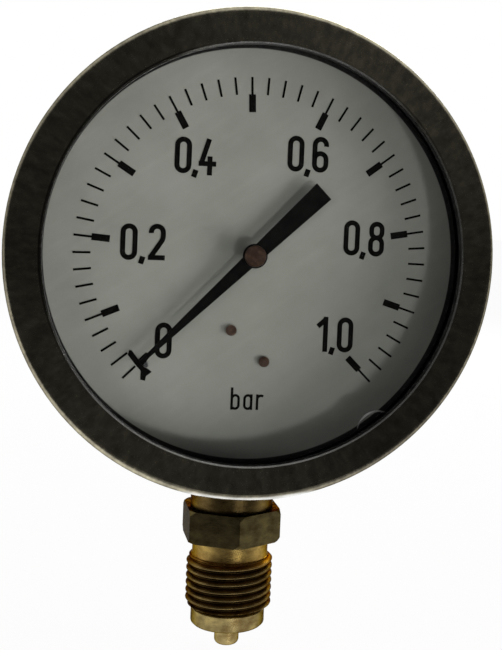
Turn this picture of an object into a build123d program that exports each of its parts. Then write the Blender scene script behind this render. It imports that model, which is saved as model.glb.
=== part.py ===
from build123d import *
from math import acos, cos, degrees, pi, radians, sin, sqrt, tan
import os

os.makedirs("parts", exist_ok=True)

# Round pressure gauge, nominal size 100, with a Bourdon tube and a lower G 1/2 B connection.
# Millimetres. X to the reader's right, Y away from the reader, Z up. The origin is on the axis
# of the connection thread, at the end of the thread nearest the wrench hexagon.

# ---- connection ----
thread_diameter = 20.955
thread_length = 12.9
thread_chamfer = 1.2
pilot_diameter = 18.0
pilot_length = 4.2
pilot_chamfer = 0.5
spigot_diameter = 6.0
spigot_length = 5.4
spigot_round = 1.2
pressure_bore = 3.0
undercut_diameter = 18.4
undercut_length = 4.2
hexagon_across_flats = 22.0
hexagon_height = 7.7
hexagon_chamfer_angle = 57.0
hexagon_chamfer_start = 24.0        # diameter of the flat ring on both ends of the hexagon
hexagon_turn = 3.0                  # degrees that a corner stands off the front
neck_diameter = 20.0
shoulder_to_centre = 69.4           # from the hexagon's underside to the pointer axis

# ---- case ----
case_diameter = 100.0
case_wall = 0.9
case_depth = 42.0                   # from the flange's front face to the back
case_back_radius = 3.0
flange_width = 2.2                  # how far the flange stands out from the case
rim_turnback = 3.0                  # depth of the rim rolled back from the flange
neck_hole_clearance = 0.15
vent_hole_diameter = 12.0
vent_height = 28.0                  # above the pointer axis
plug_head_diameter = 15.0
plug_head_thickness = 1.5
plug_bead_diameter = 13.0
plug_bead_thickness = 1.5
plug_clearance = 0.05

# ---- ring, window ----
ring_face_width = 8.1               # from the ring's outside to its opening
ring_front_y = -30.6
ring_face_drop = 1.4                # how far the face falls back from lip to shoulder
ring_edge_radius = 2.0
ring_lip_thickness = 2.4
ring_lip_chamfer = 0.35
ring_wall = 1.0
ring_bead = 1.0
ring_flange_clearance = 0.3
gasket_thickness = 0.7
gasket_setback = 0.4                # of the gasket's inner edge, outside the ring's opening
window_thickness = 2.5
window_clearance = 1.2              # all round, inside the ring's skirt

# ---- dial ----
dial_y = -21.0
dial_thickness = 0.8
dial_clearance = 2.4
dial_hole_diameter = 4.4
dial_post_diameter = 3.5
dial_screw_head = 2.4
dial_screw_head_height = 0.5
dial_screw_shank = 1.4
dial_screw_reach = 2.8              # below the dial's back
dial_screw_radii = [17.3, 23.8]
dial_screw_angles = [255.3, 277.8]
stop_pin_diameter = 1.0
stop_pin_radius = 33.5
stop_pin_height = 2.8
zero_angle = 225.0                  # direction of the zero mark, from 3 o'clock
stop_past_zero = 1.9                # degrees from the zero mark to the stop pin

# ---- pointer ----
pointer_y = -22.6                   # back of the blade
pointer_thickness = 0.4
pointer_tip_radius = 34.2
pointer_tip_width = 0.8
pointer_tail_radius = 21.1
pointer_tail_width = 4.8
bush_diameter = 5.4
bush_height = 0.9
bush_sleeve_diameter = 2.8
bush_sleeve_length = 0.9
cap_diameter = 4.8
cap_height = 0.6

# ---- movement ----
module = 0.3
pinion_teeth = 12
sector_full_teeth = 132
sector_teeth_below = 11             # teeth clockwise of the line of centres
sector_teeth_above = 1
pressure_angle = 20.0
backlash = 0.06
pinion_addendum = 1.0
sector_addendum = 0.65
root_clearance = 0.25
running_clearance = 0.05
end_play = 0.1
plate_thickness = 1.5
back_plate_y = -4.5                 # rear face of the back plate, on the stem's column
pillar_length = 7.5
pillar_diameter = 3.6
pillar_places = [(-13.0, -3.0), (13.0, -3.0), (-9.5, -27.0)]
plate_edge = 2.6                    # plate round each pillar's axis
plate_screw_spacing = 10.0
plate_screw_margin = 1.0            # from the screw heads to the tube's seat
plate_screw_shank = 2.8
plate_screw_head = 5.2
plate_screw_head_height = 1.8
plate_screw_reach = 5.0
pillar_screw_shank = 1.9
pillar_screw_head = 3.4
pillar_screw_head_height = 0.9
pillar_screw_reach = 4.0
screw_slot_width = 0.6
screw_slot_depth = 0.4
screw_clearance = 0.05

sector_thickness = 1.2
sector_back_gap = 4.1               # from the back plate's front face to the sector
sector_hub_diameter = 6.4
sector_rim = 2.0
sector_spoke = 2.2
sector_arbor_diameter = 3.0
sector_pivot_diameter = 1.2
tail_radius = 9.0                   # sector pivot to link pin
tail_width = 3.4
tail_angle = -67.7                  # at rest, counter-clockwise from +X
tail_slot_length = 4.0
link_pin_diameter = 1.2
link_pin_head = 2.4
link_pin_head_height = 0.5
link_gap = 0.5                      # between the sector's face and the link
link_thickness = 0.8
link_width = 3.2
open_pivot_clearance = 0.3
pinion_face = 2.4
pinion_body_diameter = 2.4
arbor_front_diameter = 1.9
arbor_seat_diameter = 1.5
arbor_pivot_diameter = 1.0

hairspring_strip = 0.25
hairspring_width = 0.8
hairspring_pitch = 1.1
hairspring_turns = 5
hairspring_gap = 1.8                # from the back plate
collet_diameter = 3.4
collet_length = 1.4
collet_gap = 0.1
stud_diameter = 1.6

# ---- Bourdon tube ----
tube_case_clearance = 7.3           # from the tube to the inside of the case
tube_width = 14.0
tube_thickness = 3.6
tube_wall = 0.4
tube_y = 2.5
tube_start_angle = 255.0
tube_sweep = 270.0
tube_seat_depth = 8.0               # degrees of tube inside its seat
tube_seat_clearance = 0.05
seat_wall = 1.6
seat_back = 8.0                     # degrees of solid seat behind the tube's end
cross_bore = 2.0
end_piece_sweep = 6.0
end_piece_wall = 1.0
end_tongue_length = 3.0
end_tongue_clearance = 0.1
tip_pin_place = (26.08, -15.22)
ear_thickness = 1.2
ear_width = 4.0

# ---- stem inside the case ----
column_width = 16.0
column_depth = 8.5
column_top = -15.0                  # from the pointer axis
foot_margin = 6.0                   # above and below the case screws
case_screw_spacing = 10.0
case_screw_edge = 10.0              # from the outside of the case to the case screws
case_screw_shank = 3.8
case_screw_head = 7.0
case_screw_head_height = 2.4
case_screw_reach = 9.0

# ---- derived sizes ----
shoulder_z = undercut_length
hexagon_top_z = shoulder_z + hexagon_height
centre_z = shoulder_z + shoulder_to_centre
pilot_top_z = -thread_length
pilot_end_z = pilot_top_z - pilot_length
spigot_end_z = pilot_end_z - spigot_length

case_radius = case_diameter / 2
case_inner_radius = case_radius - case_wall
flange_diameter = case_diameter + 2 * flange_width
ring_inner_radius = flange_diameter / 2 + ring_flange_clearance
ring_radius = ring_inner_radius + ring_wall
ring_opening = 2 * (ring_radius - ring_face_width)
gasket_opening = ring_opening + 2 * gasket_setback
tube_radius = case_inner_radius - tube_case_clearance - tube_thickness / 2
seat_y = ring_front_y + ring_lip_thickness
window_front_y = seat_y + gasket_thickness
flange_y = window_front_y + window_thickness
rim_back_y = flange_y + rim_turnback
case_back_y = flange_y + case_depth
case_inner_y = case_back_y - case_wall
case_screw_height = case_screw_edge - case_radius
foot_top = case_screw_height + foot_margin
foot_bottom = case_screw_height - foot_margin
window_radius = ring_inner_radius - window_clearance

dial_back_y = dial_y + dial_thickness
stop_angle = zero_angle + stop_past_zero
back_plate_front_y = back_plate_y - plate_thickness
front_plate_back_y = back_plate_front_y - pillar_length
front_plate_y = front_plate_back_y - plate_thickness
sector_y = back_plate_front_y - sector_back_gap
sector_front_y = sector_y - sector_thickness
link_y = sector_front_y - link_gap
link_front_y = link_y - link_thickness
pinion_back_y = sector_y + (pinion_face - sector_thickness) / 2
hairspring_y = back_plate_front_y - hairspring_gap

pinion_pitch_radius = module * pinion_teeth / 2
sector_pitch_radius = module * sector_full_teeth / 2
centre_distance = pinion_pitch_radius + sector_pitch_radius
sector_place = (0.0, -centre_distance)
tooth_pitch_angle = 360 / sector_full_teeth
plate_screw_height = (tube_radius - tube_thickness / 2 - seat_wall
                      - plate_screw_margin - plate_screw_head / 2)
plate_screw_places = [(-plate_screw_spacing / 2, -plate_screw_height),
                      (plate_screw_spacing / 2, -plate_screw_height)]

pointer_axis = Axis((0, 0, centre_z), (0, 1, 0))
stem_axis = Axis((0, 0, 0), (0, 0, 1))


def dial_plane(y):
    """Plane parallel to the dial at depth y, centred on the pointer axis, facing the reader."""
    return Plane(origin=(0, y, centre_z), x_dir=(1, 0, 0), z_dir=(0, -1, 0))


def back_plane(y):
    """The same plane facing the back; X stays as it is and local Y points down."""
    return Plane(origin=(0, y, centre_z), x_dir=(1, 0, 0), z_dir=(0, 1, 0))


def radial_plane(angle):
    """Plane through the pointer axis: local X is the radius, local Y is the depth."""
    a = radians(angle)
    return Plane(origin=(0, 0, centre_z), x_dir=(cos(a), 0, sin(a)), z_dir=(-sin(a), 0, cos(a)))


def polar(radius, angle):
    return (radius * cos(radians(angle)), radius * sin(radians(angle)))


def involute(angle):
    """Involute function of a pressure angle in radians."""
    return tan(angle) - angle


def tooth_points(pitch_radius, teeth, root_radius, tip_radius):
    """Outline of one tooth that points along local X, with involute flanks."""
    base_radius = pitch_radius * cos(radians(pressure_angle))
    half = pi / (2 * teeth) - backlash / (4 * pitch_radius) + involute(radians(pressure_angle))
    start = max(base_radius, root_radius)
    flank = []
    for step in range(5):
        r = start + (tip_radius - start) * step / 4
        flank.append((r, half - involute(acos(min(1.0, base_radius / r)))))
    if root_radius < base_radius:
        flank.insert(0, (root_radius, flank[0][1]))
    flank.insert(0, (root_radius - module / 2, flank[0][1]))
    upper = [(r * cos(a), r * sin(a)) for r, a in flank]
    return upper + [(x, -y) for x, y in reversed(upper)]


dial_screw_places = [polar(r, a)
                     for r, a in zip(dial_screw_radii, dial_screw_angles)]

# ---- stem: connection, wrench hexagon, neck and the column inside the case ----
hexagon_corner = hexagon_across_flats / 2 / cos(pi / 6)
chamfer_reach = (2 * hexagon_corner - hexagon_chamfer_start) / 2
with BuildPart() as hexagon:
    with BuildSketch(Plane.XY.offset(shoulder_z)):
        RegularPolygon(hexagon_corner, 6, rotation=90 + hexagon_turn)
    extrude(amount=hexagon_height)
    # both ends are turned to a steep cone, which takes off the corners
    with BuildSketch(Plane.XZ) as turned_blank:
        drop = chamfer_reach * tan(radians(hexagon_chamfer_angle))
        with BuildLine():
            Polyline(
                (0, shoulder_z), (hexagon_chamfer_start / 2, shoulder_z),
                (hexagon_corner, shoulder_z + drop), (hexagon_corner, hexagon_top_z - drop),
                (hexagon_chamfer_start / 2, hexagon_top_z), (0, hexagon_top_z), close=True,
            )
        make_face()
    revolve(axis=stem_axis, mode=Mode.INTERSECT)

with BuildPart() as stem:
    # turned end: thread cylinder, pilot, spigot, undercut and neck
    with BuildSketch(Plane.XZ):
        with BuildLine():
            Polyline(
                (0, spigot_end_z), (spigot_diameter / 2, spigot_end_z),
                (spigot_diameter / 2, pilot_end_z),
                (pilot_diameter / 2 - pilot_chamfer, pilot_end_z),
                (pilot_diameter / 2, pilot_end_z + pilot_chamfer),
                (pilot_diameter / 2, pilot_top_z),
                (thread_diameter / 2 - thread_chamfer, pilot_top_z),
                (thread_diameter / 2, pilot_top_z + thread_chamfer),
                (thread_diameter / 2, 0), (undercut_diameter / 2, 0),
                (undercut_diameter / 2, shoulder_z), (neck_diameter / 2, shoulder_z),
                (neck_diameter / 2, centre_z + foot_bottom), (0, centre_z + foot_bottom),
                close=True,
            )
        make_face()
    revolve(axis=stem_axis)
    spigot_edge = stem.edges().filter_by(GeomType.CIRCLE).sort_by(Axis.Z)[0]
    fillet(spigot_edge, spigot_round)
    add(hexagon.part)
    # foot and column, screwed to the back of the case
    with BuildSketch(dial_plane(case_inner_y)):
        with Locations((0, (foot_bottom + foot_top) / 2)):
            Rectangle(column_width, foot_top - foot_bottom)
    extrude(amount=case_inner_y - back_plate_y)
    with BuildSketch(dial_plane(back_plate_y + column_depth)):
        with Locations((0, (foot_bottom + column_top) / 2)):
            Rectangle(column_width, column_top - foot_bottom)
    extrude(amount=column_depth)
    # seat that takes the fixed end of the tube
    with BuildSketch(radial_plane(tube_start_angle - tube_seat_depth)):
        with Locations((tube_radius, tube_y)):
            Rectangle(tube_thickness + 2 * seat_wall, tube_width + 2 * seat_wall)
    revolve(axis=pointer_axis, revolution_arc=-(tube_seat_depth + seat_back))
    with BuildSketch(radial_plane(tube_start_angle - tube_seat_depth)):
        with Locations((tube_radius, tube_y)):
            SlotOverall(
                tube_width + 2 * tube_seat_clearance,
                tube_thickness + 2 * tube_seat_clearance, rotation=90,
            )
    revolve(axis=pointer_axis, revolution_arc=-tube_seat_depth, mode=Mode.SUBTRACT)
    # pressure passage: up the stem, then across into the tube
    seat_x, seat_z = polar(tube_radius, tube_start_angle)
    with BuildSketch(Plane.XY.offset(spigot_end_z)):
        Circle(pressure_bore / 2)
    extrude(amount=centre_z + seat_z - spigot_end_z, mode=Mode.SUBTRACT)
    with BuildSketch(Plane.YZ):
        with Locations(((pressure_bore - cross_bore) / 2, centre_z + seat_z)):
            Circle(cross_bore / 2)
    extrude(amount=seat_x, mode=Mode.SUBTRACT)
    # tapped holes for the case screws and the movement screws
    with BuildSketch(back_plane(case_inner_y)):
        with Locations((0, -case_screw_height)):
            with GridLocations(case_screw_spacing, 1, 2, 1):
                Circle(case_screw_shank / 2 + screw_clearance)
    extrude(amount=-(case_screw_reach + screw_clearance), mode=Mode.SUBTRACT)
    with BuildSketch(dial_plane(back_plate_y)):
        with Locations(plate_screw_places):
            Circle(plate_screw_shank / 2 + screw_clearance)
    extrude(amount=-(plate_screw_reach + screw_clearance), mode=Mode.SUBTRACT)
stem.part.label = "stem"
export_step(stem.part, "parts/stem.step")

# ---- case: deep-drawn cup with a rolled flange at the front ----
neck_hole_diameter = neck_diameter + 2 * neck_hole_clearance
with BuildPart() as case:
    with BuildSketch(radial_plane(0)):
        with BuildLine():
            Polyline(
                (0, case_back_y), (case_radius, case_back_y),
                (case_radius, flange_y + case_wall),
                (flange_diameter / 2 - case_wall, flange_y + case_wall),
                (flange_diameter / 2 - case_wall, rim_back_y),
                (flange_diameter / 2, rim_back_y), (flange_diameter / 2, flange_y),
                (case_inner_radius, flange_y), (case_inner_radius, case_inner_y),
                (0, case_inner_y), close=True,
            )
        make_face()
    revolve(axis=pointer_axis)
    inner_edge = case.edges().filter_by(GeomType.CIRCLE).group_by(Axis.Y)[-2]
    fillet(inner_edge, case_back_radius - case_wall)
    outer_edge = case.edges().filter_by(GeomType.CIRCLE).group_by(Axis.Y)[-1]
    fillet(outer_edge, case_back_radius)
    with BuildSketch(Plane.XY):
        Circle(neck_hole_diameter / 2)
    extrude(amount=centre_z, mode=Mode.SUBTRACT)
    with BuildSketch(back_plane(case_inner_y)):
        with Locations((0, -vent_height)):
            Circle(vent_hole_diameter / 2)
        with Locations((0, -case_screw_height)):
            with GridLocations(case_screw_spacing, 1, 2, 1):
                Circle(case_screw_shank / 2 + screw_clearance)
    extrude(amount=case_wall, mode=Mode.SUBTRACT)
case.part.label = "case"
export_step(case.part, "parts/case.step")

# ---- blow-out plug: rubber, snapped into the back ----
with BuildPart() as blowout_plug:
    with BuildSketch(back_plane(case_back_y)):
        with Locations((0, -vent_height)):
            Circle(plug_head_diameter / 2)
    extrude(amount=plug_head_thickness)
    fillet(blowout_plug.edges().filter_by(GeomType.CIRCLE).sort_by(Axis.Y)[-1],
           plug_head_thickness / 2)
    with BuildSketch(back_plane(case_back_y)):
        with Locations((0, -vent_height)):
            Circle(vent_hole_diameter / 2 - plug_clearance)
    extrude(amount=-case_wall)
    with BuildSketch(back_plane(case_inner_y)):
        with Locations((0, -vent_height)):
            Circle(plug_bead_diameter / 2)
    extrude(amount=-plug_bead_thickness, taper=20)
blowout_plug.part.label = "blowout_plug"
export_step(blowout_plug.part, "parts/blowout_plug.step")

# ---- case screws ----
with BuildPart() as case_screws:
    with BuildSketch(back_plane(case_back_y)):
        with Locations((0, -case_screw_height)):
            with GridLocations(case_screw_spacing, 1, 2, 1):
                Circle(case_screw_head / 2)
    extrude(amount=case_screw_head_height)
    fillet(case_screws.edges().filter_by(GeomType.CIRCLE).group_by(Axis.Y)[-1],
           case_screw_head_height / 3)
    with BuildSketch(back_plane(case_back_y)):
        with Locations((0, -case_screw_height)):
            with GridLocations(case_screw_spacing, 1, 2, 1):
                Circle(case_screw_shank / 2)
    extrude(amount=-(case_wall + case_screw_reach))
    with BuildSketch(back_plane(case_back_y + case_screw_head_height)):
        with Locations((0, -case_screw_height)):
            with GridLocations(case_screw_spacing, 1, 2, 1):
                Rectangle(case_screw_head, 2 * screw_slot_width, rotation=30)
    extrude(amount=-2 * screw_slot_depth, mode=Mode.SUBTRACT)
case_screws.part.label = "case_screws"
export_step(case_screws.part, "parts/case_screws.step")

# ---- ring: snapped over the flange and rolled in behind it ----
shoulder_y = ring_front_y + ring_face_drop
with BuildPart() as bezel_ring:
    with BuildSketch(radial_plane(0)):
        with BuildLine():
            Polyline(
                (ring_opening / 2, seat_y), (ring_opening / 2, ring_front_y),
                (ring_radius, shoulder_y), (ring_radius, rim_back_y + ring_bead),
                (flange_diameter / 2 - ring_wall, rim_back_y + ring_bead),
                (flange_diameter / 2 - ring_wall, rim_back_y),
                (ring_inner_radius, rim_back_y), (ring_inner_radius, seat_y), close=True,
            )
        make_face()
    revolve(axis=pointer_axis)
    outer_edges = bezel_ring.edges().filter_by(GeomType.CIRCLE).group_by(SortBy.RADIUS)[-1]
    fillet(outer_edges.sort_by(Axis.Y)[0], ring_edge_radius)
    bead_edge = bezel_ring.edges().filter_by(GeomType.CIRCLE).group_by(Axis.Y)[-1].sort_by(
        lambda e: e.radius)[-1]
    fillet(bead_edge, ring_bead * 0.7)
    lip_edge = bezel_ring.edges().filter_by(GeomType.CIRCLE).group_by(Axis.Y)[0]
    chamfer(lip_edge, ring_lip_chamfer)
bezel_ring.part.label = "bezel_ring"
export_step(bezel_ring.part, "parts/bezel_ring.step")

# ---- window and its gasket ----
with BuildPart() as window_gasket:
    with BuildSketch(dial_plane(window_front_y)):
        Circle(window_radius)
        Circle(gasket_opening / 2, mode=Mode.SUBTRACT)
    extrude(amount=gasket_thickness)
window_gasket.part.label = "window_gasket"
export_step(window_gasket.part, "parts/window_gasket.step")

with BuildPart() as window:
    with BuildSketch(dial_plane(flange_y)):
        Circle(window_radius)
    extrude(amount=window_thickness)
window.part.label = "window"
export_step(window.part, "parts/window.step")

# ---- dial, its posts and screws, stop pin ----
with BuildPart() as dial:
    with BuildSketch(dial_plane(dial_back_y)):
        Circle(case_inner_radius - dial_clearance)
        Circle(dial_hole_diameter / 2, mode=Mode.SUBTRACT)
        with Locations(dial_screw_places):
            Circle(dial_screw_shank / 2 + screw_clearance, mode=Mode.SUBTRACT)
        with Locations(polar(stop_pin_radius, stop_angle)):
            Circle(stop_pin_diameter / 2 + screw_clearance, mode=Mode.SUBTRACT)
    extrude(amount=dial_thickness)
dial.part.label = "dial"
export_step(dial.part, "parts/dial.step")

post_tail_diameter = dial_post_diameter / 2
with BuildPart() as dial_posts:
    with BuildSketch(dial_plane(front_plate_y)):
        with Locations(dial_screw_places):
            Circle(dial_post_diameter / 2)
    extrude(amount=front_plate_y - dial_back_y)
    with BuildSketch(dial_plane(front_plate_y)):
        with Locations(dial_screw_places):
            Circle(post_tail_diameter / 2)
    extrude(amount=-plate_thickness)
    with BuildSketch(dial_plane(dial_back_y)):
        with Locations(dial_screw_places):
            Circle(dial_screw_shank / 2 + screw_clearance)
    extrude(amount=-(dial_screw_reach + screw_clearance), mode=Mode.SUBTRACT)
dial_posts.part.label = "dial_posts"
export_step(dial_posts.part, "parts/dial_posts.step")

with BuildPart() as dial_screws:
    with BuildSketch(dial_plane(dial_y)):
        with Locations(dial_screw_places):
            Circle(dial_screw_head / 2)
    extrude(amount=dial_screw_head_height)
    with BuildSketch(dial_plane(dial_y)):
        with Locations(dial_screw_places):
            Circle(dial_screw_shank / 2)
    extrude(amount=-(dial_thickness + dial_screw_reach))
dial_screws.part.label = "dial_screws"
export_step(dial_screws.part, "parts/dial_screws.step")

with BuildPart() as stop_pin:
    with BuildSketch(dial_plane(dial_back_y)):
        with Locations(polar(stop_pin_radius, stop_angle)):
            Circle(stop_pin_diameter / 2)
    extrude(amount=dial_thickness + stop_pin_height)
    with BuildSketch(dial_plane(dial_back_y)):
        with Locations(polar(stop_pin_radius, stop_angle)):
            Circle(stop_pin_diameter)
    extrude(amount=-dial_thickness / 2)
stop_pin.part.label = "stop_pin"
export_step(stop_pin.part, "parts/stop_pin.step")

# ---- movement plates, pillars and screws ----
def plate_outline(places, edge):
    """Convex outline that keeps the same edge round every place."""
    with Locations(places):
        Circle(edge)
    make_hull()


bearing_places = [(0.0, 0.0), sector_place]
with BuildPart() as movement_back_plate:
    with BuildSketch(dial_plane(back_plate_y)):
        plate_outline(pillar_places + plate_screw_places + bearing_places, plate_edge)
        with Locations(bearing_places[0]):
            Circle(arbor_pivot_diameter / 2 + running_clearance, mode=Mode.SUBTRACT)
        with Locations(bearing_places[1]):
            Circle(sector_pivot_diameter / 2 + running_clearance, mode=Mode.SUBTRACT)
        with Locations(plate_screw_places):
            Circle(plate_screw_shank / 2 + screw_clearance, mode=Mode.SUBTRACT)
    extrude(amount=plate_thickness)
movement_back_plate.part.label = "movement_back_plate"
export_step(movement_back_plate.part, "parts/movement_back_plate.step")

with BuildPart() as movement_front_plate:
    with BuildSketch(dial_plane(front_plate_back_y)):
        plate_outline(pillar_places + bearing_places + dial_screw_places, plate_edge)
        with Locations(bearing_places[0]):
            Circle(arbor_front_diameter / 2 + running_clearance, mode=Mode.SUBTRACT)
        with Locations(bearing_places[1]):
            Circle(sector_pivot_diameter / 2 + running_clearance, mode=Mode.SUBTRACT)
        with Locations(pillar_places):
            Circle(pillar_screw_shank / 2 + screw_clearance, mode=Mode.SUBTRACT)
        with Locations(dial_screw_places):
            Circle(post_tail_diameter / 2 + screw_clearance, mode=Mode.SUBTRACT)
    extrude(amount=plate_thickness)
movement_front_plate.part.label = "movement_front_plate"
export_step(movement_front_plate.part, "parts/movement_front_plate.step")

with BuildPart() as movement_pillars:
    with BuildSketch(dial_plane(back_plate_front_y)):
        with Locations(pillar_places):
            Circle(pillar_diameter / 2)
    extrude(amount=pillar_length)
    with BuildSketch(dial_plane(front_plate_back_y)):
        with Locations(pillar_places):
            Circle(pillar_screw_shank / 2 + screw_clearance)
    extrude(amount=-(pillar_screw_reach + screw_clearance), mode=Mode.SUBTRACT)
movement_pillars.part.label = "movement_pillars"
export_step(movement_pillars.part, "parts/movement_pillars.step")


def slotted_screws(seat, places, head, head_height, shank, reach):
    """Cheese-head screws whose heads bear on the plane at depth seat."""
    with BuildPart() as screws:
        with BuildSketch(dial_plane(seat)):
            with Locations(places):
                Circle(head / 2)
        extrude(amount=head_height)
        with BuildSketch(dial_plane(seat)):
            with Locations(places):
                Circle(shank / 2)
        extrude(amount=-reach)
        with BuildSketch(dial_plane(seat - head_height)):
            with Locations(places):
                Rectangle(head, screw_slot_width, rotation=40)
        extrude(amount=-screw_slot_depth, mode=Mode.SUBTRACT)
    return screws.part


pillar_screws = slotted_screws(
    front_plate_y, pillar_places, pillar_screw_head, pillar_screw_head_height,
    pillar_screw_shank, plate_thickness + pillar_screw_reach,
)
pillar_screws.label = "pillar_screws"
export_step(pillar_screws, "parts/pillar_screws.step")

movement_screws = slotted_screws(
    back_plate_front_y, plate_screw_places, plate_screw_head, plate_screw_head_height,
    plate_screw_shank, plate_thickness + plate_screw_reach,
)
movement_screws.label = "movement_screws"
export_step(movement_screws, "parts/movement_screws.step")

# ---- toothed sector: involute teeth on a spoked segment with a slotted tail ----
sector_root = sector_pitch_radius - module * (pinion_addendum + root_clearance)
sector_tip = sector_pitch_radius + module * sector_addendum
rim_low = 90 - tooth_pitch_angle * (sector_teeth_below + 0.6)
rim_high = 90 + tooth_pitch_angle * (sector_teeth_above + 0.6)
tail_tip = polar(tail_radius, tail_angle)


def pivot_plane(y, place):
    """Plane parallel to the dial at depth y, centred on a pivot of the movement."""
    return Plane(origin=(place[0], y, centre_z + place[1]), x_dir=(1, 0, 0), z_dir=(0, -1, 0))


def slice_edges(radius, low, high):
    """Closed edges of a pie slice about the local origin."""
    middle = (low + high) / 2
    arc = ThreePointArc(polar(radius, low), polar(radius, middle), polar(radius, high))
    Line((0, 0), arc @ 0)
    Line(arc @ 1, (0, 0))


with BuildSketch() as sector_tooth:
    with BuildLine():
        Polyline(*tooth_points(
            sector_pitch_radius, sector_full_teeth, sector_root, sector_tip), close=True)
    make_face()

with BuildPart() as sector_gear:
    with BuildSketch(pivot_plane(sector_y, sector_place)):
        with BuildLine():
            slice_edges(sector_root, rim_low, rim_high)
        make_face()
        Circle(sector_hub_diameter / 2)
        with PolarLocations(0, sector_teeth_below + sector_teeth_above + 1,
                            90 - sector_teeth_below * tooth_pitch_angle,
                            (sector_teeth_below + sector_teeth_above) * tooth_pitch_angle,
                            endpoint=True):
            add(sector_tooth.sketch)
        with Locations(Location((tail_tip[0] / 2, tail_tip[1] / 2), tail_angle)):
            SlotOverall(tail_radius + tail_slot_length + tail_width, tail_width)
    extrude(amount=sector_thickness)
    # lightening window between the spokes
    with BuildSketch(pivot_plane(sector_y, sector_place)):
        spoke_angle = degrees(sector_spoke / (sector_root * 0.7))
        with BuildLine():
            slice_edges(sector_root - sector_rim, rim_low + spoke_angle, rim_high - spoke_angle)
        make_face()
        Circle((sector_hub_diameter + sector_spoke) / 2, mode=Mode.SUBTRACT)
    extrude(amount=sector_thickness, mode=Mode.SUBTRACT)
    # adjusting slot in the tail and the seat on the arbor
    with BuildSketch(pivot_plane(sector_y, sector_place)):
        with Locations(Location(tail_tip, tail_angle)):
            SlotOverall(tail_slot_length, link_pin_diameter + 2 * screw_clearance)
        Circle(sector_arbor_diameter / 2)
    extrude(amount=sector_thickness, mode=Mode.SUBTRACT)
sector_gear.part.label = "sector_gear"
export_step(sector_gear.part, "parts/sector_gear.step")


def turned_arbor(place, steps):
    """Arbor turned along Y: steps are (diameter, back y, front y)."""
    with BuildPart() as arbor:
        for diameter, back, front in steps:
            with BuildSketch(pivot_plane(back, place)):
                Circle(diameter / 2)
            extrude(amount=back - front)
    return arbor.part


sector_arbor = turned_arbor(sector_place, [
    (sector_pivot_diameter, back_plate_y - end_play, back_plate_front_y - end_play),
    (sector_arbor_diameter, back_plate_front_y - end_play, front_plate_back_y + end_play),
    (sector_pivot_diameter, front_plate_back_y + end_play, front_plate_y + end_play),
])
sector_arbor.label = "sector_arbor"
export_step(sector_arbor, "parts/sector_arbor.step")

# ---- pinion cut on the pointer's arbor ----
pinion_root = pinion_pitch_radius - module * (sector_addendum + root_clearance)
pinion_tip = pinion_pitch_radius + module * pinion_addendum
bush_front_y = pointer_y - pointer_thickness - bush_height
with BuildSketch() as pinion_tooth:
    with BuildLine():
        Polyline(*tooth_points(
            pinion_pitch_radius, pinion_teeth, pinion_root, pinion_tip), close=True)
    make_face()

with BuildPart() as pinion_arbor:
    with BuildSketch(dial_plane(pinion_back_y)):
        Circle(pinion_root)
        with PolarLocations(0, pinion_teeth, -90 + 180 / pinion_teeth):
            add(pinion_tooth.sketch)
    extrude(amount=pinion_face)
    pinion_front_y = pinion_back_y - pinion_face
    for diameter, back, front in [
        (arbor_pivot_diameter, back_plate_y - end_play, back_plate_front_y - end_play),
        (pinion_body_diameter, back_plate_front_y - end_play, pinion_back_y),
        (pinion_body_diameter, pinion_front_y, front_plate_back_y + end_play),
        (arbor_front_diameter, front_plate_back_y + end_play, pointer_y + bush_sleeve_length),
        (arbor_seat_diameter, pointer_y + bush_sleeve_length, bush_front_y + running_clearance),
    ]:
        with BuildSketch(dial_plane(back)):
            Circle(diameter / 2)
        extrude(amount=back - front)
pinion_arbor.part.label = "pinion_arbor"
export_step(pinion_arbor.part, "parts/pinion_arbor.step")

# ---- hairspring: flat spiral between the collet on the arbor and the stud on the plate ----
collet_y = hairspring_y + (collet_length - hairspring_width) / 2
with BuildPart() as hairspring_collet:
    with BuildSketch(dial_plane(collet_y)):
        Circle(collet_diameter / 2)
        Circle(pinion_body_diameter / 2, mode=Mode.SUBTRACT)
    extrude(amount=collet_length)
hairspring_collet.part.label = "hairspring_collet"
export_step(hairspring_collet.part, "parts/hairspring_collet.step")

spiral_start = collet_diameter / 2 + collet_gap + hairspring_strip / 2
with BuildPart() as hairspring:
    with BuildSketch(dial_plane(hairspring_y)):
        with BuildLine():
            # half turns about two centres half a pitch apart
            for turn in range(2 * hairspring_turns):
                radius = spiral_start + turn * hairspring_pitch / 2
                side = 0 if turn % 2 == 0 else hairspring_pitch / 2
                CenterArc((side, 0), radius, 180 * (turn % 2), 180)
        trace(line_width=hairspring_strip)
    extrude(amount=hairspring_width)
hairspring.part.label = "hairspring"
export_step(hairspring.part, "parts/hairspring.step")

spiral_end = spiral_start + hairspring_turns * hairspring_pitch
stud_place = (spiral_end + hairspring_strip / 2 + stud_diameter / 2 + collet_gap, 0)
with BuildPart() as hairspring_stud:
    with BuildSketch(dial_plane(back_plate_front_y)):
        with Locations(stud_place):
            Circle(stud_diameter / 2)
    extrude(amount=hairspring_gap + hairspring_width + collet_gap)
hairspring_stud.part.label = "hairspring_stud"
export_step(hairspring_stud.part, "parts/hairspring_stud.step")

# ---- Bourdon tube: flattened tube bent to a C ----
with BuildPart() as bourdon_tube:
    with BuildSketch(radial_plane(tube_start_angle)):
        with Locations((tube_radius, tube_y)):
            SlotOverall(tube_width, tube_thickness, rotation=90)
            SlotOverall(tube_width - 2 * tube_wall, tube_thickness - 2 * tube_wall,
                        rotation=90, mode=Mode.SUBTRACT)
    revolve(axis=pointer_axis, revolution_arc=tube_sweep)
bourdon_tube.part.label = "bourdon_tube"
export_step(bourdon_tube.part, "parts/bourdon_tube.step")

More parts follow.
